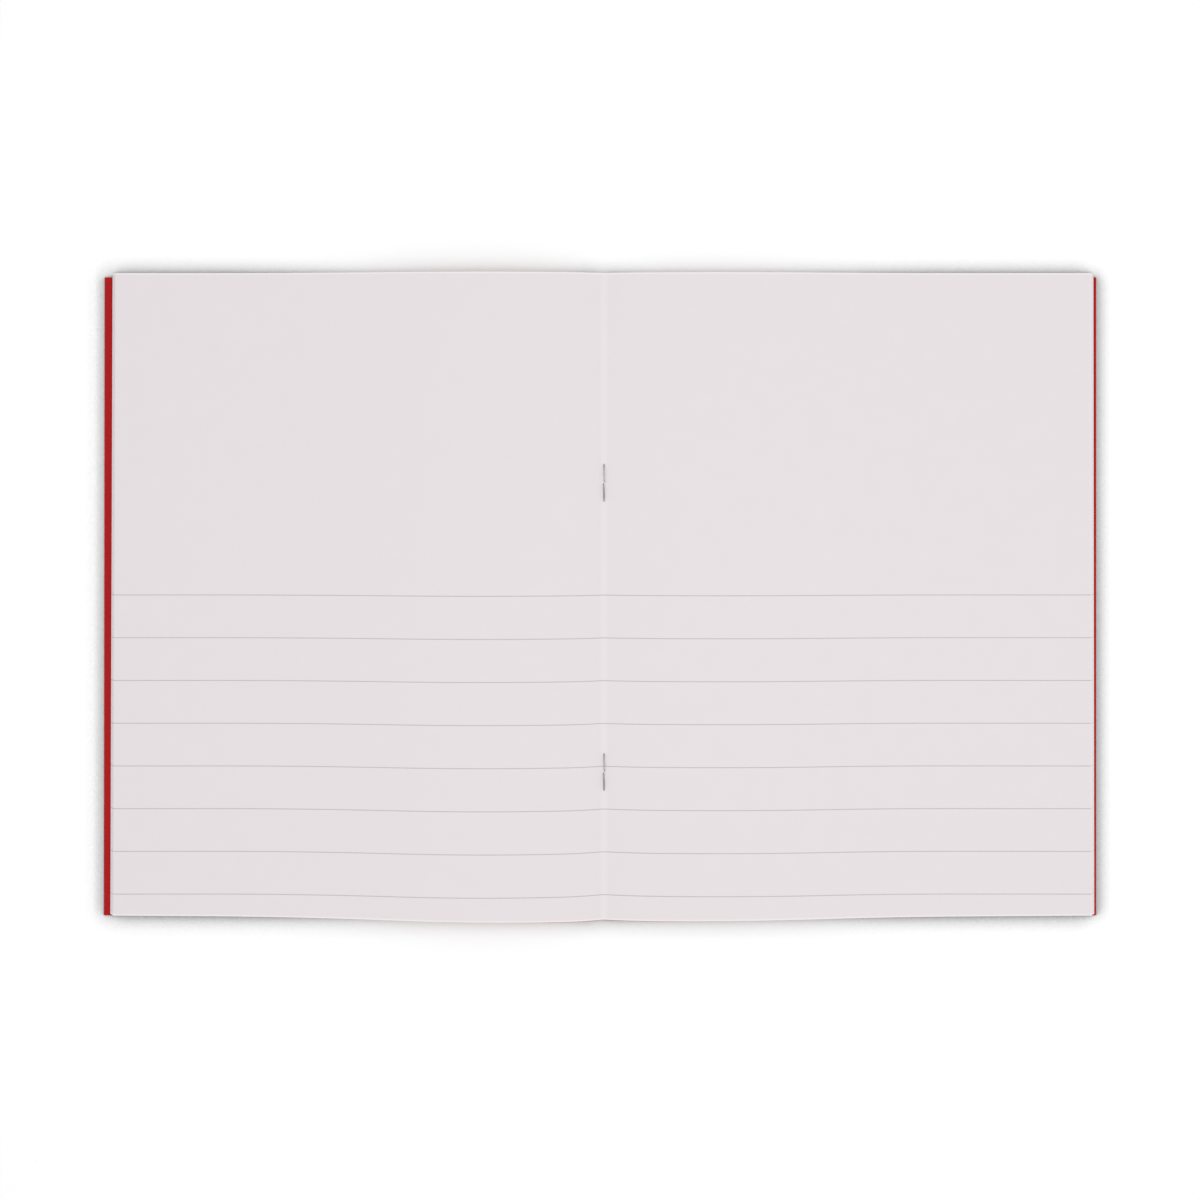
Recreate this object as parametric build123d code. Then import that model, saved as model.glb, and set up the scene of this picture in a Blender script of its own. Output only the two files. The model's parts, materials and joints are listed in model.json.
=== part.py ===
from build123d import *
import os
from dataclasses import dataclass
from math import asin, atan, cos, degrees, radians, sin

# A stapled exercise book, open at its centre spread. Millimetres, +Z up, +Y towards the head of the page.
# X = 0 is the fold, Y = 0 is the middle of the fore edges, and Z = 0 is the table under the covers.

# Sheets and cover
sheet_count = 12
paper_thickness = 0.1
sheet_air_gap = 0.1
cover_thickness = 0.25
page_height = 228.6
left_leaf_half_width = 174.3
right_leaf_half_width = 173.3
creep_per_sheet = 0.15
front_cover_overhang = 2.65
back_cover_overhang = 0.9
fold_gap = 0.1

# Trim: the tail edge drops towards the fold, the cover sits a little low on the leaves,
# and the fore edges widen towards the tail
leaf_fold_drop = 1.3
cover_fold_drop = 2.2
cover_fore_drop = 0.6
cover_head_inset = 1.3
left_leaf_slant = 0.8
right_leaf_slant = 0.3
front_cover_slant = 0.3

# Arch of the open pages: a gutter bend at the fold, a shoulder, a crown and a lay-down bend
gutter_radius = 3.85
left_gutter_slope = 18.0
left_crown_slope = 5.0
left_crown_rise = 4.75
left_crown_at = 43.0
left_flat_from = 140.0
right_gutter_slope = 10.0
right_crown_slope = 2.5
right_crown_rise = 3.0
right_crown_at = 41.0
right_flat_from = 124.0

# Staples: a wire crown under the cover, two legs through the fold, clinched inwards on the centre spread
wire_diameter = 0.45
staple_length = 13.5
staple_inside_radius = 0.225
staple_tip_gap = 0.6
upper_staple_from_head = 74.6
lower_staple_from_head = 177.4
staple_seat_clearance = 0.02
staple_table_clearance = 0.03
leg_hole_clearance = 0.1

# Worked out from the sizes above
sheet_pitch = paper_thickness + sheet_air_gap
total_creep = (sheet_count - 1) * creep_per_sheet
front_cover_half_width = left_leaf_half_width + total_creep + front_cover_overhang
back_cover_half_width = right_leaf_half_width + total_creep + back_cover_overhang
block_height = sheet_count * sheet_pitch + cover_thickness
spine_lift = staple_table_clearance + wire_diameter + staple_seat_clearance
fold_top = spine_lift + block_height
axis_height = fold_top + gutter_radius
head_y = page_height / 2
tail_y = -page_height / 2
leg_hole_radius = wire_diameter / 2 + leg_hole_clearance
staple_centres = {
    "upper_staple": head_y - upper_staple_from_head,
    "lower_staple": head_y - lower_staple_from_head,
}
leg_reach = (staple_length - wire_diameter) / 2
staple_bend_radius = staple_inside_radius + wire_diameter / 2
cut_margin = 5.0


@dataclass
class Arch:
    """One half of the open book: the line of the top page, as tangent arcs from the fold to the fore edge."""

    side: int
    gutter_slope: float
    crown_slope: float
    crown_rise: float
    crown_at: float
    flat_from: float

    def __post_init__(self):
        steep = radians(self.gutter_slope)
        gentle = radians(self.crown_slope)
        # The shoulder and crown radii together make up the run and the rise from the gutter to the crown
        run = self.crown_at - gutter_radius * sin(steep)
        rise = self.crown_rise - spine_lift - gutter_radius * (1 - cos(steep))
        shoulder_run = sin(steep) - sin(gentle)
        shoulder_rise = cos(gentle) - cos(steep)
        crown_run = sin(gentle)
        crown_climb = 1 - cos(gentle)
        scale = shoulder_run * crown_climb - crown_run * shoulder_rise
        self.shoulder_radius = (run * crown_climb - crown_run * rise) / scale
        self.crown_radius = (shoulder_run * rise - shoulder_rise * run) / scale
        # The crown runs over into the descent, which the lay-down bend brings back to level
        fall_run = self.flat_from - self.crown_at
        self.descent = 2 * atan(self.crown_rise / fall_run)
        self.lay_radius = fall_run / sin(self.descent) - self.crown_radius

    def arcs(self, depth):
        """The arcs at a depth under the top page, each as its centre, radius and start and end slope."""
        steep = radians(self.gutter_slope)
        crown_top = block_height + self.crown_rise
        crown_centre = (self.crown_at, crown_top - self.crown_radius)
        reach = self.crown_radius - self.shoulder_radius
        gentle = radians(self.crown_slope)
        shoulder_centre = (crown_centre[0] - reach * sin(gentle), crown_centre[1] + reach * cos(gentle))
        lay_centre = (self.flat_from, block_height + self.lay_radius)
        fold_slope = asin(fold_gap / 2 / (gutter_radius + depth))
        return [
            ((0, axis_height), -(gutter_radius + depth), fold_slope, steep),
            (shoulder_centre, self.shoulder_radius - depth, steep, gentle),
            (crown_centre, self.crown_radius - depth, gentle, -self.descent),
            (lay_centre, -(self.lay_radius + depth), -self.descent, 0),
        ]

    def line(self, depth, half_width):
        """The line of a page surface at a depth, from the fold to past its fore edge."""
        pieces = []
        for (x, z), radius, start, end in self.arcs(depth):
            slopes = (start, (start + end) / 2, end)
            # A point whose slope is s lies at (-sin s, cos s) from the centre, on the upper side of a hill
            points = [(self.side * (x - radius * sin(s)), z + radius * cos(s)) for s in slopes]
            pieces.append(ThreePointArc(*points))
        level = block_height - depth
        far_end = half_width + cut_margin
        pieces.append(Line((self.side * self.flat_from, level), (self.side * far_end, level)))
        return pieces

    def sheet(self, depth, thickness, half_width, fold_drop, fore_drop=0.0, head_inset=0.0, slant=0.0):
        """One leaf or cover half: its arched section, trimmed to its outline and notched for the staples."""
        top = self.line(depth, half_width)
        bottom = self.line(depth + thickness, half_width)
        ends = [Line(top[0] @ 0, bottom[0] @ 0), Line(top[-1] @ 1, bottom[-1] @ 1)]
        section = make_face([Plane.XZ * edge for edge in top + bottom + ends])
        body = extrude(section, amount=page_height, both=True)
        outline = Polyline(
            (0, head_y - head_inset),
            (self.side * (half_width - slant / 2), head_y - head_inset),
            (self.side * (half_width + slant / 2), tail_y - fore_drop),
            (0, tail_y - fold_drop),
            close=True,
        )
        body &= extrude(make_face(outline), amount=page_height)
        return body - [leg_hole(place) for place in leg_places()]


def leg_places():
    """The places of the four staple legs on the fold."""
    return [(0, centre + end * leg_reach) for centre in staple_centres.values() for end in (-1, 1)]


def leg_hole(place):
    """The hole that one staple leg passes through."""
    return Pos(*place, 0) * Cylinder(
        leg_hole_radius, axis_height, align=(Align.CENTER, Align.CENTER, Align.MIN)
    )


def staple(centre):
    """One staple: its crown under the fold, its legs, and the clinched ends that nearly meet."""
    crown_z = spine_lift - staple_seat_clearance - wire_diameter / 2
    clinch_z = fold_top + staple_seat_clearance + wire_diameter / 2
    path = FilletPolyline(
        (0, centre + staple_tip_gap / 2, clinch_z),
        (0, centre + leg_reach, clinch_z),
        (0, centre + leg_reach, crown_z),
        (0, centre - leg_reach, crown_z),
        (0, centre - leg_reach, clinch_z),
        (0, centre - staple_tip_gap / 2, clinch_z),
        radius=staple_bend_radius,
    )
    return sweep(Plane(path @ 0, z_dir=path % 0) * Circle(wire_diameter / 2), path)


left = Arch(-1, left_gutter_slope, left_crown_slope, left_crown_rise, left_crown_at, left_flat_from)
right = Arch(1, right_gutter_slope, right_crown_slope, right_crown_rise, right_crown_at, right_flat_from)

nodes = {}
for number in range(1, sheet_count + 1):
    depth = (number - 1) * sheet_pitch
    creep = (number - 1) * creep_per_sheet
    nodes[f"left_leaf_{number:02d}"] = left.sheet(
        depth, paper_thickness, left_leaf_half_width + creep, leaf_fold_drop, slant=left_leaf_slant
    )
    nodes[f"right_leaf_{number:02d}"] = right.sheet(
        depth, paper_thickness, right_leaf_half_width + creep, leaf_fold_drop, slant=right_leaf_slant
    )

cover_depth = sheet_count * sheet_pitch
cover_trim = (cover_fold_drop, cover_fore_drop, cover_head_inset)
nodes["front_cover"] = left.sheet(
    cover_depth, cover_thickness, front_cover_half_width, *cover_trim, slant=front_cover_slant
)
nodes["back_cover"] = right.sheet(cover_depth, cover_thickness, back_cover_half_width, *cover_trim)
for name, centre in staple_centres.items():
    nodes[name] = staple(centre)

os.makedirs("parts", exist_ok=True)
for name, solid in nodes.items():
    export_step(solid, f"parts/{name}.step")
for name, arch in (("left", left), ("right", right)):
    print(
        f"{name}: shoulder radius {arch.shoulder_radius:.1f}, crown radius {arch.crown_radius:.1f}, "
        f"lay-down radius {arch.lay_radius:.1f}, descent {degrees(arch.descent):.2f} degrees"
    )
print(f"hinge axis along Y at x = 0, z = {axis_height:.3f}")
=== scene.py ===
"""Dresses an open stapled exercise book: paper leaves, card cover, wire staples, floor, light and camera.

Lengths in the classes are millimetres in the book's own frame: X across the spread from the fold, Y towards
the head of the page, Z up from the table. Angles are degrees. Meshes are written in metres.
"""

import json
import logging
from dataclasses import dataclass
from enum import Enum
from math import radians
from typing import Any

import bpy
import numpy as np
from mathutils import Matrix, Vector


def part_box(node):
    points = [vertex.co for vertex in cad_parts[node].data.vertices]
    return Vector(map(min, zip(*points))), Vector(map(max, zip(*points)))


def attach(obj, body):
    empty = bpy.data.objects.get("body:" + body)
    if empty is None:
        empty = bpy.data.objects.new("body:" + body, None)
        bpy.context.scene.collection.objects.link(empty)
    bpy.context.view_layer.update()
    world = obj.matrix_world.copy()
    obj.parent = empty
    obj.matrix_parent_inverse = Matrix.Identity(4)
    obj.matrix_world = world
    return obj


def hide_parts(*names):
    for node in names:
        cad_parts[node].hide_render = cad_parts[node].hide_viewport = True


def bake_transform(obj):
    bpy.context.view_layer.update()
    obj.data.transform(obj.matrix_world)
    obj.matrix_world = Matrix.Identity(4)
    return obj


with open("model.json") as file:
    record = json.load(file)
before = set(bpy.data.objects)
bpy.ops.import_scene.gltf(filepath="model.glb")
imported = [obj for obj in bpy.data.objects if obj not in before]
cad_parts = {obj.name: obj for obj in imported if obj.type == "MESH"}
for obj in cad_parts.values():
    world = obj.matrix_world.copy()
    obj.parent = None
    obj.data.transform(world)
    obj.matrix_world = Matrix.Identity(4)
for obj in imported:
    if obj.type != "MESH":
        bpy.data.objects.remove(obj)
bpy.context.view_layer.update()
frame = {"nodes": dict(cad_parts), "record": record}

MM = 0.001

# Two faces that meet at more than this angle keep a sharp edge between them
SHARP_ANGLE = 40.0

# UV maps and the attribute that the finishes read
SHEET_UV = "flat_sheet"
WIRE_UV = "along_wire"
TRIM_DISTANCE = "trim_mm"

# Sockets of the Mix node: inputs A and B and the output, first for numbers and then for colours
NUMBER_A, NUMBER_B, NUMBER_OUT = 2, 3, 0
COLOUR_A, COLOUR_B, COLOUR_OUT = 6, 7, 2

log = logging.getLogger("exercise_book")


class Side(Enum):
    """The two halves of the open book, with the sign of X on each."""

    LEFT = -1
    RIGHT = 1

    @property
    def word(self) -> str:
        """The side's name as the nodes write it."""
        return self.name.lower()


def linear(hex_colour: str) -> tuple[float, float, float, float]:
    """Turns an sRGB hex colour to linear light.

    Args:
        hex_colour: six hex digits, such as "e7e1e3".

    Returns:
        Red, green, blue and an alpha of 1, each from 0 to 1.
    """
    srgb = np.array([int(hex_colour[i:i + 2], 16) for i in (0, 2, 4)]) / 255
    light = np.where(srgb <= 0.04045, srgb / 12.92, ((srgb + 0.055) / 1.055) ** 2.4)
    return (*(float(v) for v in light), 1.0)


def node(tree: bpy.types.NodeTree, kind: str, inputs: dict[Any, Any] | None = None,
         **settings: Any) -> bpy.types.Node:
    """Adds one node, with its settings, input values and links.

    Args:
        tree: the node tree that gets the node.
        kind: the node's type, without the leading "ShaderNode".
        inputs: input name or number to a value, or to an output socket to link.
        **settings: properties of the node, such as operation.

    Returns:
        The new node.
    """
    made = tree.nodes.new("ShaderNode" + kind)
    for name, value in settings.items():
        setattr(made, name, value)
    for key, value in (inputs or {}).items():
        if isinstance(value, bpy.types.NodeSocket):
            tree.links.new(value, made.inputs[key])
        else:
            made.inputs[key].default_value = value
    return made


def new_material(name: str) -> tuple[bpy.types.Material, bpy.types.NodeTree]:
    """Makes an empty node material.

    Args:
        name: the material's name.

    Returns:
        The material and its node tree, with no nodes in it.
    """
    material = bpy.data.materials.new(name)
    material.use_nodes = True
    material.node_tree.nodes.clear()
    return material, material.node_tree


@dataclass(frozen=True)
class UncoatedPaper:
    """Uncoated offset paper, made on a wire and calendered: matt, faintly mottled, with short fibres.

    The ruling is printed in thin grey ink on the lower half of each page. The paper reads the flat sheet's
    own UV map, in metres: U runs from the fold, and V from mid-height towards the head.
    """

    name: str = "uncoated_offset_paper"
    light_hex: str = "e4dee1"
    dull_hex: str = "e1dadd"
    ink_hex: str = "bab2b6"
    painted_edge_highlight_hex: str = "f1eded"
    painted_fold_highlight_hex: str = "e5dfe2"
    mottle_mm: float = 9.0
    fibre_mm: float = 0.9
    fibre_share: float = 0.45
    fibre_height: float = 0.03
    first_line: float = -0.2
    ruling_pitch: float = 15.21
    ruling_lines: int = 8
    ink_width: float = 0.3
    ink_fade: float = 0.1
    thinnest_ink: float = 0.75
    thin_grain: tuple[float, float] = (0.3, 0.7)
    crease_mm: float = 1.5
    painted_edge_highlight_mm: float = 0.7
    roughness: float = 0.88
    specular: float = 0.25
    ior: float = 1.5

    def material(self) -> bpy.types.Material:
        """Builds the paper.

        Returns:
            The material, for both faces of every leaf.
        """
        material, tree = new_material(self.name)
        flat = node(tree, "UVMap", uv_map=SHEET_UV).outputs["UV"]
        mottle = node(tree, "TexNoise", {"Vector": flat, "Scale": 1 / (self.mottle_mm * MM), "Detail": 4.0})
        fibre = node(tree, "TexNoise", {"Vector": flat, "Scale": 1 / (self.fibre_mm * MM), "Detail": 6.0,
                                        "Roughness": 0.7}).outputs["Fac"]
        both = node(tree, "Mix", {"Factor": self.fibre_share, NUMBER_A: mottle.outputs["Fac"],
                                  NUMBER_B: fibre}).outputs[NUMBER_OUT]
        paper = node(tree, "Mix", {"Factor": both, COLOUR_A: linear(self.dull_hex),
                                   COLOUR_B: linear(self.light_hex)}, data_type="RGBA").outputs[COLOUR_OUT]
        across = node(tree, "SeparateXYZ", {0: flat}).outputs["X"]
        from_fold = node(tree, "Math", {0: across}, operation="ABSOLUTE").outputs[0]
        # Painted highlight: a paler band along the fold, where light catches the crease
        crease = node(tree, "MapRange", {"Value": from_fold, "From Min": self.crease_mm / 2 * MM,
                                         "From Max": self.crease_mm * MM, "To Min": 1.0, "To Max": 0.0})
        fold_highlit = node(tree, "Mix", {"Factor": crease.outputs[0], COLOUR_A: paper,
                                     COLOUR_B: linear(self.painted_fold_highlight_hex)},
                       data_type="RGBA").outputs[COLOUR_OUT]
        ruled = node(tree, "Mix", {"Factor": self.ruling(tree, flat, fibre), COLOUR_A: fold_highlit,
                                   COLOUR_B: linear(self.ink_hex)}, data_type="RGBA").outputs[COLOUR_OUT]
        # Painted highlight: near a cut edge the paper is painted paler than the page, as a bright rim of
        # light on the edge
        trim = node(tree, "Attribute", attribute_name=TRIM_DISTANCE).outputs["Fac"]
        rim = node(tree, "MapRange", {"Value": trim, "From Min": 0.0, "From Max": self.painted_edge_highlight_mm,
                                      "To Min": 1.0, "To Max": 0.0})
        cut = node(tree, "Mix", {"Factor": rim.outputs[0], COLOUR_A: ruled,
                                 COLOUR_B: linear(self.painted_edge_highlight_hex)}, data_type="RGBA").outputs[COLOUR_OUT]
        bump = node(tree, "Bump", {"Strength": 0.25, "Distance": self.fibre_height * MM, "Height": fibre})
        shader = node(tree, "BsdfPrincipled", {"Base Color": cut, "Roughness": self.roughness,
                                               "IOR": self.ior, "Specular IOR Level": self.specular,
                                               "Normal": bump.outputs["Normal"]})
        node(tree, "OutputMaterial", {"Surface": shader.outputs[0]})
        return material

    def ruling(self, tree: bpy.types.NodeTree, flat: bpy.types.NodeSocket,
               grain: bpy.types.NodeSocket) -> bpy.types.NodeSocket:
        """Draws the printed lines.

        V from the first line, over the pitch, is a whole number on a line, so how far it is from one tells
        how near the line is. The ink is full inside half its width and fades at its edge, and only the lines
        from the first one down to the last are kept.

        Args:
            tree: the paper's node tree.
            flat: the flat sheet's UV.
            grain: the fibre noise, which breaks the ink a little.

        Returns:
            The ink's cover, from 0 to 1.
        """
        height = node(tree, "SeparateXYZ", {0: flat}).outputs["Y"]
        start, pitch = self.first_line * MM, self.ruling_pitch * MM
        from_first = node(tree, "Math", {0: height, 1: start}, operation="SUBTRACT").outputs[0]
        count = node(tree, "Math", {0: from_first, 1: pitch}, operation="DIVIDE").outputs[0]
        nearest = node(tree, "Math", {0: count}, operation="ROUND").outputs[0]
        off = node(tree, "Math", {0: count, 1: nearest}, operation="SUBTRACT").outputs[0]
        away = node(tree, "Math", {0: off}, operation="ABSOLUTE").outputs[0]
        half = self.ink_width / 2 / self.ruling_pitch
        fade = self.ink_fade / self.ruling_pitch
        line = node(tree, "MapRange", {"Value": away, "From Min": half - fade / 2,
                                       "From Max": half + fade / 2, "To Min": 1.0, "To Max": 0.0}).outputs[0]
        over_first, under_last = 0.5, 0.5 - self.ruling_lines
        below = node(tree, "Math", {0: nearest, 1: over_first}, operation="LESS_THAN").outputs[0]
        above = node(tree, "Math", {0: nearest, 1: under_last}, operation="GREATER_THAN").outputs[0]
        kept = node(tree, "Math", {0: below, 1: above}, operation="MULTIPLY").outputs[0]
        ink = node(tree, "Math", {0: line, 1: kept}, operation="MULTIPLY").outputs[0]
        low, high = self.thin_grain
        broken = node(tree, "MapRange", {"Value": grain, "From Min": low, "From Max": high,
                                         "To Min": self.thinnest_ink, "To Max": 1.0}).outputs[0]
        return node(tree, "Math", {0: ink, 1: broken}, operation="MULTIPLY").outputs[0]


@dataclass(frozen=True)
class DyedCard:
    """Red card dyed in the pulp and calendered: matt, with fine fibres, rubbed paler at fold and edges."""

    name: str = "dyed_red_card"
    red_hex: str = "b01012"
    deep_hex: str = "a20d0f"
    worn_hex: str = "bd5450"
    mottle_mm: float = 3.0
    fibre_mm: float = 0.5
    fibre_share: float = 0.5
    fibre_height: float = 0.05
    worn_grain: tuple[float, float] = (0.42, 0.62)
    crease_core_mm: float = 0.1
    crease_mm: float = 0.7
    crease_wear: float = 0.8
    edge_wear_mm: float = 0.35
    edge_wear: float = 0.55
    smoothest: float = 0.62
    roughest: float = 0.82
    specular: float = 0.2
    ior: float = 1.5

    def material(self) -> bpy.types.Material:
        """Builds the card.

        Returns:
            The material, for both faces of both cover halves.
        """
        material, tree = new_material(self.name)
        flat = node(tree, "UVMap", uv_map=SHEET_UV).outputs["UV"]
        mottle = node(tree, "TexNoise", {"Vector": flat, "Scale": 1 / (self.mottle_mm * MM), "Detail": 5.0})
        fibre = node(tree, "TexNoise", {"Vector": flat, "Scale": 1 / (self.fibre_mm * MM), "Detail": 6.0,
                                        "Roughness": 0.75}).outputs["Fac"]
        both = node(tree, "Mix", {"Factor": self.fibre_share, NUMBER_A: mottle.outputs["Fac"],
                                  NUMBER_B: fibre}).outputs[NUMBER_OUT]
        red = node(tree, "Mix", {"Factor": both, COLOUR_A: linear(self.deep_hex),
                                 COLOUR_B: linear(self.red_hex)}, data_type="RGBA").outputs[COLOUR_OUT]
        across = node(tree, "SeparateXYZ", {0: flat}).outputs["X"]
        from_fold = node(tree, "Math", {0: across}, operation="ABSOLUTE").outputs[0]
        crease = node(tree, "MapRange", {"Value": from_fold, "From Min": self.crease_core_mm * MM,
                                         "From Max": self.crease_mm * MM, "To Min": self.crease_wear,
                                         "To Max": 0.0}).outputs[0]
        trim = node(tree, "Attribute", attribute_name=TRIM_DISTANCE).outputs["Fac"]
        edge = node(tree, "MapRange", {"Value": trim, "From Min": 0.0, "From Max": self.edge_wear_mm,
                                       "To Min": self.edge_wear, "To Max": 0.0}).outputs[0]
        rubbed = node(tree, "Math", {0: crease, 1: edge}, operation="MAXIMUM").outputs[0]
        low, high = self.worn_grain
        patchy = node(tree, "MapRange", {"Value": fibre, "From Min": low, "From Max": high}).outputs[0]
        wear = node(tree, "Math", {0: rubbed, 1: patchy}, operation="MULTIPLY").outputs[0]
        worn = node(tree, "Mix", {"Factor": wear, COLOUR_A: red, COLOUR_B: linear(self.worn_hex)},
                    data_type="RGBA").outputs[COLOUR_OUT]
        rough = node(tree, "MapRange", {"Value": fibre, "To Min": self.smoothest, "To Max": self.roughest})
        bump = node(tree, "Bump", {"Strength": 0.35, "Distance": self.fibre_height * MM, "Height": fibre})
        shader = node(tree, "BsdfPrincipled", {"Base Color": worn, "Roughness": rough.outputs[0],
                                               "IOR": self.ior, "Specular IOR Level": self.specular,
                                               "Normal": bump.outputs["Normal"]})
        node(tree, "OutputMaterial", {"Surface": shader.outputs[0]})
        return material


@dataclass(frozen=True)
class DrawnWire:
    """Galvanised steel wire, drawn through a die: grey, with fine lines along it and painted glints of
    light.
    """

    name: str = "galvanised_steel_wire"
    bright_hex: str = "c8c2c2"
    dull_hex: str = "837a7d"
    streak_mm: float = 0.12
    streak_length_mm: float = 2.5
    streak_share: float = 0.3
    streak_height: float = 0.01
    glint_mm: float = 5.0
    glint_range: tuple[float, float] = (0.38, 0.66)
    smoothest: float = 0.26
    roughest: float = 0.46

    def material(self) -> bpy.types.Material:
        """Builds the wire.

        Returns:
            The material, which reads the wire's own UV map: U round the wire and V along it, in metres.
        """
        material, tree = new_material(self.name)
        along = node(tree, "UVMap", uv_map=WIRE_UV).outputs["UV"]
        stretch = node(tree, "Mapping", {"Vector": along, "Scale": (1 / (self.streak_mm * MM),
                                                                  1 / (self.streak_length_mm * MM), 1.0)})
        streaks = node(tree, "TexNoise", {"Vector": stretch.outputs[0], "Scale": 1.0,
                                          "Detail": 4.0}).outputs["Fac"]
        length = node(tree, "SeparateXYZ", {0: along}).outputs["Y"]
        # Painted reflection: the glint noise and the mask made from it paint brighter lengths of wire as
        # glints of light; the streaks are the drawn lines
        glint_noise = node(tree, "TexNoise", {"W": length, "Scale": 1 / (self.glint_mm * MM), "Detail": 1.0},
                       noise_dimensions="1D")
        low, high = self.glint_range
        rubbed = node(tree, "MapRange", {"Value": glint_noise.outputs["Fac"], "From Min": low, "From Max": high})
        both = node(tree, "Mix", {"Factor": self.streak_share, NUMBER_A: rubbed.outputs[0],
                                  NUMBER_B: streaks}).outputs[NUMBER_OUT]
        grey = node(tree, "Mix", {"Factor": both, COLOUR_A: linear(self.dull_hex),
                                  COLOUR_B: linear(self.bright_hex)}, data_type="RGBA").outputs[COLOUR_OUT]
        rough = node(tree, "MapRange", {"Value": streaks, "To Min": self.smoothest, "To Max": self.roughest})
        bump = node(tree, "Bump", {"Strength": 0.3, "Distance": self.streak_height * MM, "Height": streaks})
        shader = node(tree, "BsdfPrincipled", {"Base Color": grey, "Metallic": 1.0,
                                               "Roughness": rough.outputs[0],
                                               "Normal": bump.outputs["Normal"]})
        node(tree, "OutputMaterial", {"Surface": shader.outputs[0]})
        return material


@dataclass(frozen=True)
class PageArch:
    """The line of one half of the open book, from the fold to the fore edge, as tangent arcs.

    A gutter bend about the hinge axis rises into a shoulder and a crown, then a lay-down bend brings the
    page level. A surface at a depth under the top page is the same line, moved square to itself by that
    depth.
    """

    side: Side
    gutter_slope: float
    crown_slope: float
    crown_rise: float
    crown_at: float
    flat_from: float
    axis_height: float
    block_height: float
    gutter_radius: float = 3.85

    def radii(self) -> tuple[float, float, float, float]:
        """Works out the arcs from the sizes.

        The shoulder and crown radii solve two equations: their runs add up to the way from the gutter to the
        crown, and their rises to the height between them. The descent's angle is twice the arc tangent of
        the rise over its run, and the crown and lay-down radii add up to that run over the angle's sine.

        Returns:
            The shoulder, crown and lay-down radii, and the descent's angle in radians.
        """
        steep, gentle = radians(self.gutter_slope), radians(self.crown_slope)
        fold_top = self.axis_height - self.gutter_radius
        run = self.crown_at - self.gutter_radius * np.sin(steep)
        rise = self.block_height + self.crown_rise - fold_top - self.gutter_radius * (1 - np.cos(steep))
        parts = np.array([[np.sin(steep) - np.sin(gentle), np.sin(gentle)],
                          [np.cos(gentle) - np.cos(steep), 1 - np.cos(gentle)]])
        shoulder, crown = np.linalg.solve(parts, [run, rise])
        fall = self.flat_from - self.crown_at
        descent = 2 * np.arctan(self.crown_rise / fall)
        return shoulder, crown, fall / np.sin(descent) - crown, descent

    def gutter_width(self, depth: float) -> float:
        """The width of the gutter bend at a depth: its radius there times the sine of its slope."""
        return (self.gutter_radius + depth) * np.sin(radians(self.gutter_slope))

    def height(self, x: np.ndarray, depth: float) -> np.ndarray:
        """The height of a page surface.

        Each stretch is a circle's height over its centre, or under it in the two hollow bends, and past the
        lay-down bend the page is level.

        Args:
            x: distances from the fold.
            depth: how far the surface lies under the top page.

        Returns:
            The heights above the table.
        """
        shoulder, crown, lay, descent = self.radii()
        gentle = radians(self.crown_slope)
        crown_z = self.block_height + self.crown_rise - crown
        shoulder_x = self.crown_at - (crown - shoulder) * np.sin(gentle)
        shoulder_z = crown_z + (crown - shoulder) * np.cos(gentle)
        arcs = [(0.0, self.axis_height, -(self.gutter_radius + depth)),
                (shoulder_x, shoulder_z, shoulder - depth),
                (self.crown_at, crown_z, crown - depth),
                (self.flat_from, self.block_height + lay, -(lay + depth))]
        ends = [self.gutter_width(depth), self.crown_at - (crown - depth) * np.sin(gentle),
                self.crown_at + (crown - depth) * np.sin(descent), self.flat_from]
        heights = [z + np.sign(radius) * np.sqrt(np.maximum(radius ** 2 - (x - centre) ** 2, 0))
                   for centre, z, radius in arcs]
        return np.select([x <= end for end in ends], heights, self.block_height - depth)


@dataclass(frozen=True)
class Trim:
    """The cut outline of one half sheet: its widths from the fold, and its head and tail."""

    head_width: float
    tail_width: float
    head_y: float
    tail_y: float
    fold_tail_y: float

    @classmethod
    def of_node(cls, name: str, slant: float, fold_drop: float) -> "Trim":
        """Reads an outline from a node's box.

        Args:
            name: the node.
            slant: how much wider the sheet is at its tail than at its head.
            fold_drop: how much lower the tail is at the fold than at the fore edge.

        Returns:
            The outline. The box's low end is the tail at the fold.
        """
        low, high = np.array(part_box(name)) / MM
        width = max(-low[0], high[0])
        return cls(width - slant, width, high[1], low[1] + fold_drop, low[1])


@dataclass(frozen=True)
class Cockle:
    """The slow unevenness of paper that has taken up a little damp.

    Each wave has two lengths, the ways along X and along Y that turn it by one radian.
    """

    height: float = 0.12
    long_wave: tuple[float, float] = (37.0, 61.0)
    cross_wave: tuple[float, float] = (95.0, 48.0)
    short_wave: tuple[float, float] = (52.0, 23.0)
    short_share: float = 0.5
    full_from: float = 30.0

    def lift(self, x: np.ndarray, y: np.ndarray) -> np.ndarray:
        """Works out how far the paper is lifted.

        A long sine is multiplied by a cosine that runs across it, and a shorter sine is added. The lift
        grows evenly from nothing at the fold to its full height.

        Args:
            x: distances from the fold.
            y: heights on the page.

        Returns:
            The lifts, below nothing where the paper dips.
        """
        long_x, long_y = self.long_wave
        cross_x, cross_y = self.cross_wave
        short_x, short_y = self.short_wave
        slow = np.sin(x / long_x + y / long_y) * np.cos(y / cross_y - x / cross_x)
        wave = slow + self.short_share * np.sin(y / short_y + x / short_x)
        return self.height * wave * np.clip(x / self.full_from, 0, 1)


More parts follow.
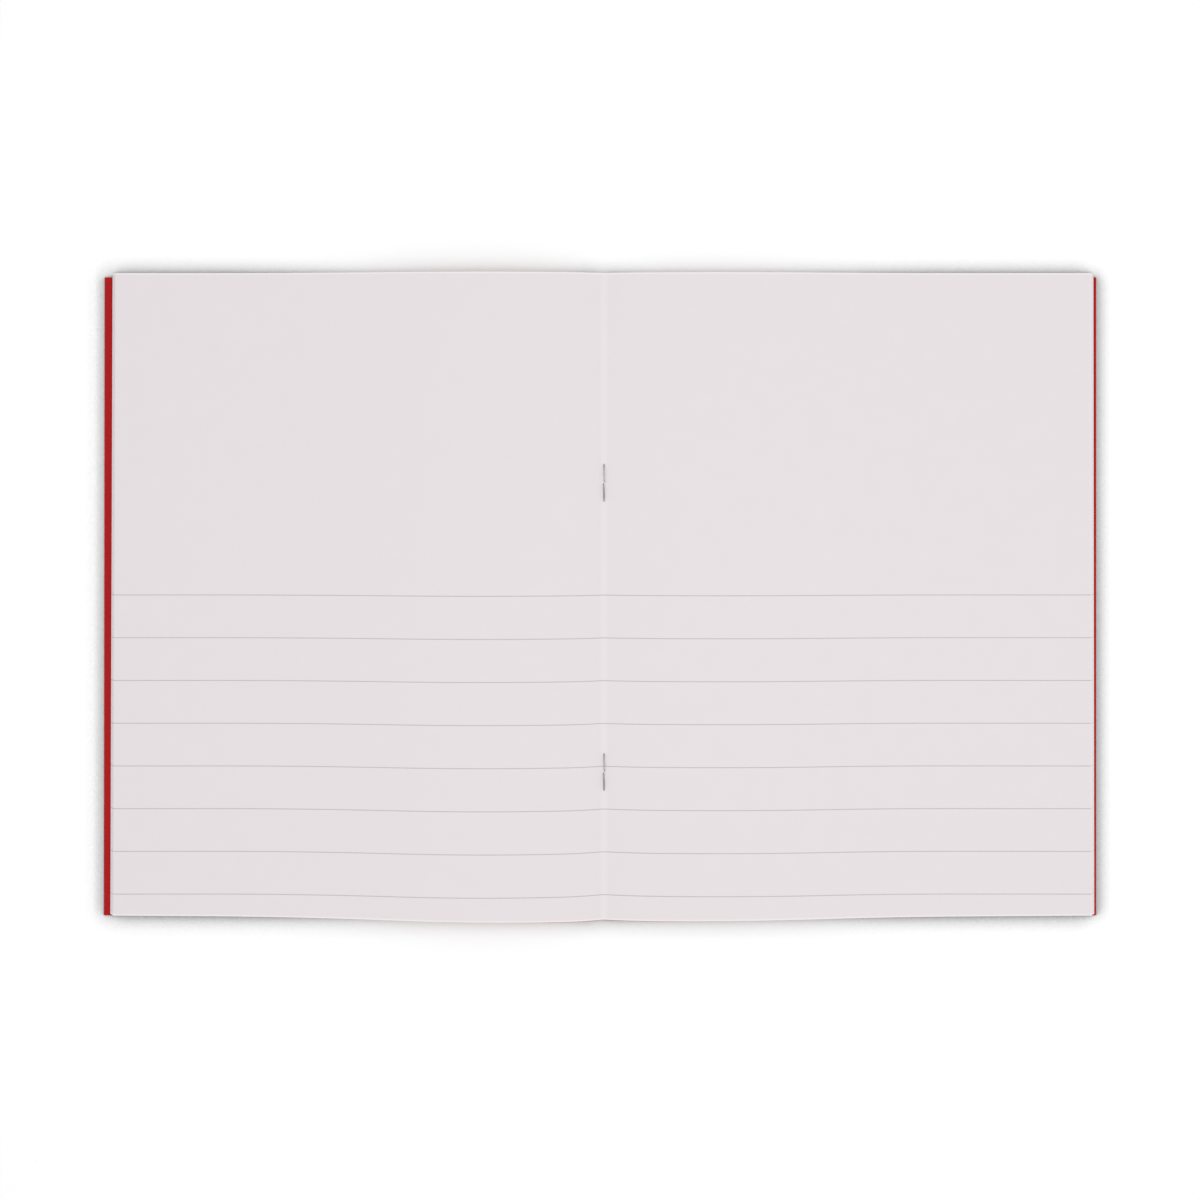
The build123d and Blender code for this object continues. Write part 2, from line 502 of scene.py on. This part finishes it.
@dataclass(frozen=True)
class HalfSheet:
    """One half of a folded sheet: a leaf, or half of the cover, with its thickness and its flat UV map.

    The rim columns and rows are extra lines of points at these distances from the cut edges, which carry
    the painted highlight on a leaf's cut edges and the worn edge of the cover. The fore shade is added to
    the distance from the fore edge, so that the painted highlight is weaker there than at the head and tail,
    as painted shade where the leaves lie in steps.
    """

    arch: PageArch
    trim: Trim
    depth: float
    thickness: float
    cockle: Cockle = Cockle(height=0.0)
    fore_shade: float = 0.0
    gutter_columns: int = 26
    page_columns: int = 64
    column_power: float = 1.5
    rows: int = 44
    rim_columns: tuple[float, ...] = (0.12, 0.3, 0.7, 1.6)
    rim_rows: tuple[float, ...] = (0.3, 0.9)

    def columns(self) -> tuple[np.ndarray, np.ndarray]:
        """Spaces the columns: even in the gutter, then wider and wider apart, and close at the fore edge.

        Returns:
            The gutter's distances from the fold, and shares from 0 to 1 of the page past the gutter.
        """
        gutter = np.linspace(0, self.arch.gutter_width(self.depth), self.gutter_columns, endpoint=False)
        page = np.linspace(0, 1, self.page_columns) ** self.column_power
        rim = 1 - np.array(self.rim_columns) / self.trim.tail_width
        return gutter, np.sort(np.concatenate([page, rim]))

    def grid(self) -> tuple[np.ndarray, np.ndarray]:
        """Lays the flat outline's grid.

        Past the gutter, X runs in shares up to the sheet's width at that row. Y runs in shares from the
        tail, which rises in a straight line from the fold to the fore edge, up to the head.

        Returns:
            Distances from the fold and heights on the page, each a columns by rows array.
        """
        gutter, shares = self.columns()
        rim = np.array(self.rim_rows) / (self.trim.head_y - self.trim.tail_y)
        v = np.sort(np.concatenate([np.linspace(0, 1, self.rows), rim, 1 - rim]))[None, :]
        width = self.trim.tail_width + (self.trim.head_width - self.trim.tail_width) * v
        bend = self.arch.gutter_width(self.depth)
        page = bend + shares[:, None] * (width - bend)
        x = np.concatenate([np.repeat(gutter[:, None], v.size, axis=1), page])
        tail = self.trim.fold_tail_y + (self.trim.tail_y - self.trim.fold_tail_y) * x / width
        return x, tail + v * (self.trim.head_y - tail)

    def surface(self, x: np.ndarray, y: np.ndarray, depth: float) -> np.ndarray:
        """Places the grid on the arch, with the cockle on top, which fades to nothing at the table.

        Args:
            x: distances from the fold.
            y: heights on the page.
            depth: the depth under the top page.

        Returns:
            Points, columns by rows by three.
        """
        lift = self.cockle.lift(x, y) * np.clip(1 - depth / self.arch.block_height, 0, 1)
        z = self.arch.height(x, depth) + lift
        return np.stack([self.arch.side.value * x, y, z], axis=-1)

    def build(self, name: str) -> bpy.types.Object:
        """Makes the sheet's closed mesh.

        The top and bottom are the same grid at two depths, and four strips of faces close the cut edges and
        the fold. The flat UV map is the length along the top line from the fold, and Y. The attribute is the
        distance from the nearest cut edge.

        Args:
            name: the new object's name.

        Returns:
            The object, in metres at the origin.
        """
        x, y = self.grid()
        top = self.surface(x, y, self.depth)
        bottom = self.surface(x, y, self.depth + self.thickness)
        step = np.hypot(np.diff(x, axis=0), np.diff(top[..., 2], axis=0))
        along = np.concatenate([np.zeros((1, x.shape[1])), np.cumsum(step, axis=0)])
        flat = np.stack([self.arch.side.value * along, y], axis=-1)
        from_ends = np.minimum(y[:, -1:] - y, y - y[:, :1])
        cut = np.minimum(x[-1:, :] - x + self.fore_shade, from_ends)
        number = np.arange(x.size).reshape(x.shape)
        faces = closed_faces(number, number + x.size, flipped=self.arch.side is Side.LEFT)
        points = np.concatenate([top.reshape(-1, 3), bottom.reshape(-1, 3)]) * MM
        made = new_object(name, points, faces.tolist())
        set_uv(made, SHEET_UV, np.tile(flat.reshape(-1, 2) * MM, (2, 1)))
        edge = made.data.attributes.new(TRIM_DISTANCE, "FLOAT", "POINT")
        edge.data.foreach_set("value", np.tile(cut.ravel(), 2).astype(np.float32))
        return made


def closed_faces(top: np.ndarray, bottom: np.ndarray, flipped: bool) -> np.ndarray:
    """Joins two grids of point numbers into a closed skin of four-sided faces.

    Args:
        top: the upper grid's point numbers, columns by rows.
        bottom: the lower grid's.
        flipped: turns every face round, for a grid whose columns run towards -X.

    Returns:
        Four point numbers for each face, with the faces outwards.
    """
    def patch(grid: np.ndarray) -> np.ndarray:
        """The faces of one grid, turned up."""
        corners = [grid[:-1, :-1], grid[1:, :-1], grid[1:, 1:], grid[:-1, 1:]]
        return np.stack(corners, axis=-1).reshape(-1, 4)

    def strip(low: np.ndarray, high: np.ndarray) -> np.ndarray:
        """The faces between two lines of points."""
        return np.stack([low[:-1], high[:-1], high[1:], low[1:]], axis=-1).reshape(-1, 4)

    turned_down = patch(bottom)[:, [0, 3, 2, 1]]
    rims = [strip(bottom[:, 0], top[:, 0])[:, ::-1], strip(bottom[:, -1], top[:, -1]),
            strip(bottom[0, :], top[0, :]), strip(bottom[-1, :], top[-1, :])[:, ::-1]]
    faces = np.concatenate([patch(top), turned_down, *rims])
    return faces[:, ::-1] if flipped else faces


def new_object(name: str, points: np.ndarray, faces: list[list[int]]) -> bpy.types.Object:
    """Makes a mesh object with smooth faces and sharp cut edges.

    Args:
        name: the object's name.
        points: its points in metres.
        faces: the point numbers of each face.

    Returns:
        The object, linked to the scene at the origin.
    """
    mesh = bpy.data.meshes.new(name)
    mesh.from_pydata(points, [], faces)
    mesh.shade_smooth()
    mesh.set_sharp_from_angle(angle=radians(SHARP_ANGLE))
    made = bpy.data.objects.new(name, mesh)
    bpy.context.scene.collection.objects.link(made)
    return made


def set_uv(made: bpy.types.Object, name: str, uv: np.ndarray) -> None:
    """Gives a mesh a UV map from one UV for each point.

    Args:
        made: the mesh object.
        name: the UV map's name.
        uv: one pair of numbers for each point.
    """
    corners = np.empty(len(made.data.loops), dtype=np.int32)
    made.data.loops.foreach_get("vertex_index", corners)
    made.data.uv_layers.new(name=name).data.foreach_set("uv", uv[corners].astype(np.float32).ravel())


@dataclass
class PageBlock:
    """The leaves of one half of the book, innermost first, each logged with the leaf or cover under it."""

    arch: PageArch
    cover_body: str
    finish: bpy.types.Material
    count: int
    slant: float
    fore_shade: float
    fold_drop: float = 1.3
    paper: float = 0.1
    pitch: float = 0.2
    cockle: Cockle = Cockle()

    def build(self) -> None:
        """Makes and dresses every leaf of this half.

        The fore edges lie in steps, where each leaf shades the next, so their painted edge highlight is
        dimmed as painted shade. The leaf on the cover has the whole painted highlight.
        """
        word = self.arch.side.word
        for number in range(1, self.count + 1):
            name = f"{word}_leaf_{number:02d}"
            on_cover = number == self.count
            under = self.cover_body if on_cover else f"{word}_leaf_{number + 1:02d}"
            trim = Trim.of_node(name, self.slant, self.fold_drop)
            sheet = HalfSheet(self.arch, trim, (number - 1) * self.pitch, self.paper, self.cockle,
                              fore_shade=0.0 if on_cover else self.fore_shade)
            leaf = sheet.build(f"paper_{name}")
            leaf.data.materials.append(self.finish)
            hang(leaf, name, under, name, sheet)


@dataclass
class Cover:
    """The card cover: a front half, and a back half that lies still on the back body."""

    finish: bpy.types.Material
    depth: float
    card: float = 0.25
    front_slant: float = 0.3
    back_slant: float = 0.0
    fold_drop: float = 1.6

    def build(self, left: PageArch, right: PageArch) -> None:
        """Makes and dresses both halves.

        Args:
            left: the arch of the front half.
            right: the arch of the back half.
        """
        trim = Trim.of_node("front_cover", self.front_slant, self.fold_drop)
        sheet = HalfSheet(left, trim, self.depth, self.card)
        front = sheet.build("card_front_cover")
        front.data.materials.append(self.finish)
        hang(front, "front_cover", "back", "front", sheet)
        trim = Trim.of_node("back_cover", self.back_slant, self.fold_drop)
        back = HalfSheet(right, trim, self.depth, self.card).build("card_back_cover")
        back.data.materials.append(self.finish)
        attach(back, "back")
        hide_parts("back_cover")
        log.info("%s rides on back", back.name)


def hang(made: bpy.types.Object, name: str, still: str, moving: str, sheet: HalfSheet) -> None:
    """Bakes a half sheet's place into its mesh, hides the node that it stands for and logs the two bodies.

    Args:
        made: the half sheet's mesh.
        name: the node that it stands for.
        still: the body under the half sheet, which the log names.
        moving: the half sheet's own body, which the log names.
        sheet: the half sheet's sizes.
    """
    bend = sheet.arch.side.value * sheet.arch.gutter_width(sheet.depth) * MM
    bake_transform(made)
    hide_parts(name)
    log.info("%s bends between %s and %s", made.name, still, moving)


@dataclass
class Staple:
    """One wire staple: its crown under the spine, two legs through the fold and two clinched ends."""

    name: str
    finish: bpy.types.Material
    tip_gap: float = 0.7
    bend_radius: float = 0.45
    clinch_bow: float = 0.12
    tip_turn: float = 0.16
    cut_slope: float = 0.8
    sides: int = 20
    end_points: int = 24
    bend_points: int = 8
    leg_points: int = 6
    crown_points: int = 12

    def path(self, low: np.ndarray, high: np.ndarray, radius: float) -> np.ndarray:
        """Works out the wire's centre line inside its box.

        One half is a clinched end, a quarter turn down, a leg, a quarter turn and half the crown. The
        clinched end bows up by a half sine and turns aside at its tip by a squared share. The other half
        mirrors it.

        Args:
            low: the box's low corner.
            high: its high corner.
            radius: half the wire's thickness.

        Returns:
            Points along the centre line, from one tip to the other.
        """
        middle, reach = (low[1] + high[1]) / 2, (high[1] - low[1]) / 2 - radius
        top, foot, turn = high[2] - radius, low[2] + radius, self.bend_radius
        tip = self.tip_gap / 2
        share = np.linspace(0, 1, self.end_points, endpoint=False)
        quarter = np.linspace(0, np.pi / 2, self.bend_points, endpoint=False)
        y = np.concatenate([tip + share * (reach - turn - tip),
                            reach - turn + turn * np.sin(quarter),
                            np.full(self.leg_points, reach),
                            reach - turn + turn * np.cos(quarter),
                            np.linspace(reach - turn, 0, self.crown_points, endpoint=False)])
        z = np.concatenate([top + self.clinch_bow * np.sin(np.pi * share),
                            top - turn + turn * np.cos(quarter),
                            np.linspace(top - turn, foot + turn, self.leg_points, endpoint=False),
                            foot + turn - turn * np.sin(quarter),
                            np.full(self.crown_points, foot)])
        x = np.zeros_like(y)
        x[:share.size] = self.tip_turn * (1 - share) ** 2
        half = np.stack([x, y, z], axis=-1)
        mirrored = half[::-1] * np.array([-1, -1, 1])
        whole = np.concatenate([half, [[0, 0, foot]], mirrored])
        return whole + np.array([(low[0] + high[0]) / 2, middle, 0])

    def build(self) -> None:
        """Sweeps a round section along the centre line, cuts both tips on a slant and dresses the wire.

        A ring is the centre plus the radius times the cosine across the fold and the sine along the wire's
        own normal. At a tip the ring slides along the wire by the cut's slope times that sine.
        """
        low, high = np.array(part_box(self.name)) / MM
        radius = (high[0] - low[0]) / 2
        path = self.path(low, high, radius)
        tangent = np.gradient(path, axis=0)
        tangent /= np.linalg.norm(tangent, axis=1, keepdims=True)
        across = np.array([1.0, 0.0, 0.0])
        normal = np.cross(tangent, across)
        normal /= np.linalg.norm(normal, axis=1, keepdims=True)
        turn = np.linspace(0, 2 * np.pi, self.sides, endpoint=False)
        rings = (path[:, None] + radius * (np.cos(turn)[None, :, None] * across
                                           + np.sin(turn)[None, :, None] * normal[:, None]))
        slide = self.cut_slope * radius * np.sin(turn)[:, None]
        rings[0] += slide * tangent[0]
        rings[-1] += slide * tangent[-1]
        number = np.arange(path.shape[0] * self.sides).reshape(path.shape[0], self.sides)
        after = np.roll(number, -1, axis=1)
        skin = np.stack([number[:-1], number[1:], after[1:], after[:-1]], axis=-1).reshape(-1, 4)
        faces = [*skin.tolist(), number[0].tolist(), number[-1][::-1].tolist()]
        wire = new_object(f"wire_{self.name}", rings.reshape(-1, 3) * MM, faces)
        step = np.linalg.norm(np.diff(path, axis=0), axis=1)
        along = np.concatenate([[0.0], np.cumsum(step)])
        round_wire = np.broadcast_to(radius * turn, number.shape)
        length = np.broadcast_to(along[:, None], number.shape)
        set_uv(wire, WIRE_UV, np.stack([round_wire, length], axis=-1).reshape(-1, 2) * MM)
        wire.data.materials.append(self.finish)
        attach(wire, "back")
        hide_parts(self.name)
        log.info("%s rides on back", wire.name)


@dataclass(frozen=True)
class ContactLook:
    """One look from the floor for the contact shadow: its direction, its reach and how deep it darkens."""

    direction: tuple[float, float, float]
    reach: float
    depth: float


@dataclass
class Studio:
    """A white floor under an even dome, a softbox overhead, and a camera that looks straight down.

    The frame's width is what the camera sees at the level of the pages, at its distance above them.
    """

    distance: float = 546.0
    frame_width: float = 426.95
    page_level: float = 2.65
    frame_centre: tuple[float, float] = (-1.45, -2.0)
    eye_above_centre: float = 57.0
    sensor_width: float = 36.0
    nearest: float = 10.0
    floor_half_size: float = 20000.0
    contact_looks: tuple[ContactLook, ...] = (
        ContactLook((1.0, 0.0, -1.0), reach=7.0, depth=3.1),
        ContactLook((-1.0, 0.0, -1.0), reach=6.5, depth=1.6),
        ContactLook((-1.0, 0.0, -1.0), reach=3.5, depth=1.55),
        ContactLook((0.0, 0.4, 1.0), reach=9.0, depth=0.4))
    look_samples: int = 12
    dome_hex: str = "ffffff"
    dome_strength: float = 0.88
    softbox_place: tuple[float, float, float] = (90.0, 0.0, 700.0)
    softbox_size: float = 450.0
    softbox_share: float = 0.2

    def build(self) -> None:
        """Makes the floor, the lights and the camera."""
        scene = bpy.context.scene
        scene.view_settings.view_transform = "Standard"
        self.floor()
        self.dome(scene)
        self.softbox(scene)
        self.camera(scene)

    def floor(self) -> None:
        """Lays a flat matt white floor at the table's height.

        Close to the book the floor darkens as a soft contact shadow. Each look goes in one direction over a
        short reach, and the share of it that the book shuts off, times the look's depth, comes off the
        white. A look that is turned down counts a low edge nearly as much as a high one, and the one that
        goes up and towards the head counts what hangs over the floor, most of all at the tail.
        """
        half = self.floor_half_size * MM
        points = np.array([[-half, -half, 0], [half, -half, 0], [half, half, 0], [-half, half, 0]])
        floor = new_object("floor", points, [[0, 1, 2, 3]])
        material, tree = new_material("matt_white_floor")
        white: float | bpy.types.NodeSocket = 1.0
        for look in self.contact_looks:
            towards = node(tree, "CombineXYZ", dict(enumerate(look.direction))).outputs[0]
            seen = node(tree, "AmbientOcclusion", {"Distance": look.reach * MM, "Normal": towards},
                        samples=self.look_samples)
            shut = node(tree, "Math", {0: 1.0, 1: seen.outputs["AO"]}, operation="SUBTRACT").outputs[0]
            off = node(tree, "Math", {0: shut, 1: look.depth}, operation="MULTIPLY").outputs[0]
            white = node(tree, "Math", {0: white, 1: off}, operation="SUBTRACT").outputs[0]
        matt = node(tree, "BsdfDiffuse", {"Color": white})
        node(tree, "OutputMaterial", {"Surface": matt.outputs[0]})
        floor.data.materials.append(material)

    def dome(self, scene: bpy.types.Scene) -> None:
        """Lights the book evenly from all round, as bright as the far floor, so that no horizon shows.

        Args:
            scene: the scene that gets the world.
        """
        world = bpy.data.worlds.new("even_dome")
        world.use_nodes = True
        tree = world.node_tree
        tree.nodes.clear()
        dome = node(tree, "Background", {"Color": linear(self.dome_hex), "Strength": self.dome_strength})
        node(tree, "OutputWorld", {"Surface": dome.outputs[0]})
        scene.world = world

    def softbox(self, scene: bpy.types.Scene) -> None:
        """Hangs a softbox over the book, a little to the right, that faces straight down.

        The light on a page right under it is the lamp's power over pi squared, over the height squared, so
        the power is worked out from the share that is wanted.

        Args:
            scene: the scene that gets the lamp.
        """
        data = bpy.data.lights.new("softbox", "AREA")
        data.size = self.softbox_size * MM
        data.energy = self.softbox_share * (np.pi * self.softbox_place[2] * MM) ** 2
        lamp = bpy.data.objects.new("softbox", data)
        lamp.location = [v * MM for v in self.softbox_place]
        lamp.visible_camera = False
        scene.collection.objects.link(lamp)

    def camera(self, scene: bpy.types.Scene) -> None:
        """Sets the camera over the fold, with a small shift that puts the spread in the photograph's place.

        Args:
            scene: the scene that gets the camera.
        """
        data = bpy.data.cameras.new("camera")
        data.sensor_width = self.sensor_width
        data.lens = self.sensor_width * self.distance / self.frame_width
        data.shift_y = -self.eye_above_centre / self.frame_width
        data.clip_start = self.nearest * MM
        camera = bpy.data.objects.new("camera", data)
        x, y = self.frame_centre
        place = (x, y + self.eye_above_centre, self.page_level + self.distance)
        camera.location = [v * MM for v in place]
        scene.collection.objects.link(camera)
        scene.camera = camera


def main() -> None:
    """Builds the page blocks, the cover, the staples and the studio."""
    logging.basicConfig(level=logging.INFO, format="%(name)s: %(message)s")
    count = sum(name.startswith("left_leaf_") for name in frame["nodes"])
    axis_height = frame["record"]["behaviour"]["joints"][0]["pos_m"][2] / MM
    # The lowest points of the top leaf are its underside where it lies level
    block_height = float(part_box("left_leaf_01")[0][2]) / MM + PageBlock.paper
    left = PageArch(Side.LEFT, gutter_slope=18.0, crown_slope=5.0, crown_rise=4.75, crown_at=43.0,
                    flat_from=140.0, axis_height=axis_height, block_height=block_height)
    right = PageArch(Side.RIGHT, gutter_slope=10.0, crown_slope=2.5, crown_rise=3.0, crown_at=41.0,
                     flat_from=124.0, axis_height=axis_height, block_height=block_height)
    paper = UncoatedPaper().material()
    # The fore shade dims the painted edge highlight at the fore edges, more on the left page than the right,
    # as painted shade
    PageBlock(left, "front", paper, count, slant=0.8, fore_shade=0.7).build()
    PageBlock(right, "back", paper, count, slant=0.3, fore_shade=0.3).build()
    Cover(DyedCard().material(), depth=block_height - Cover.card).build(left, right)
    wire = DrawnWire().material()
    for name in ("upper_staple", "lower_staple"):
        Staple(name, wire).build()
    Studio().build()


if __name__ == "__main__":
    main()
